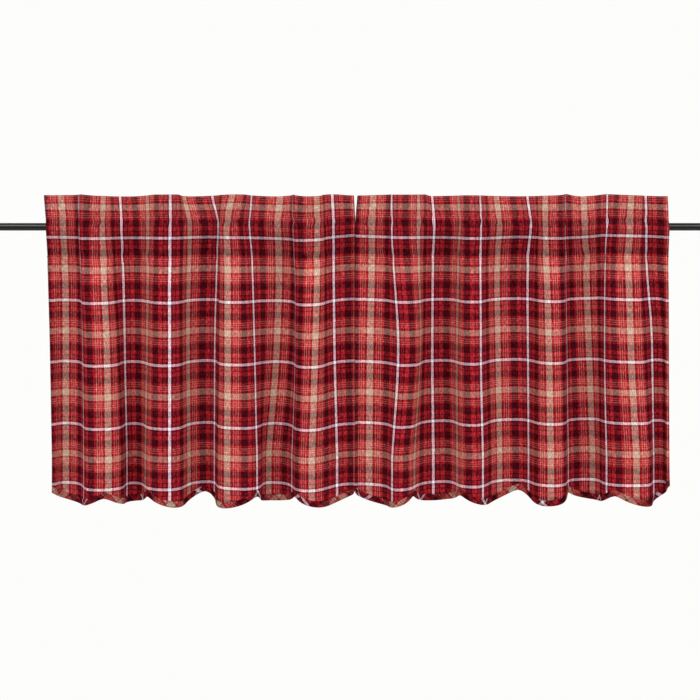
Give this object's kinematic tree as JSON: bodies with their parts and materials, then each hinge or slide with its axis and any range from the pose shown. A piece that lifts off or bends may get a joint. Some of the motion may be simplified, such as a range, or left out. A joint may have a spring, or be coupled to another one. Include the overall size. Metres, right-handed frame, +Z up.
{
  "type": "pair of tier curtains on a cafe rod",
  "caption": "Gathered check tier curtains with a standing header, rod pocket and bias-bound scalloped hem, hung as a pair on one thin black rod.",
  "frame": {"origin": "on the rod's axis, midway along it, where the two panels meet", "axes": "+X along the rod, towards the right panel; +Y away from the room; +Z up"},
  "size_m": [1.44, 0.0935, 0.609],
  "materials": {
    "check_cloth": "woven cotton check in red, maroon, tan and white, gathered",
    "bias_binding": "the same cotton check cut on the bias and folded over the edge",
    "black_paint": "satin black paint on a round steel rod"
  },
  "bodies": {
    "root": {"panel_left": "check_cloth", "panel_right": "check_cloth", "binding_left": "bias_binding", "binding_right": "bias_binding", "rod": "black_paint"}
  },
  "joints": []
}
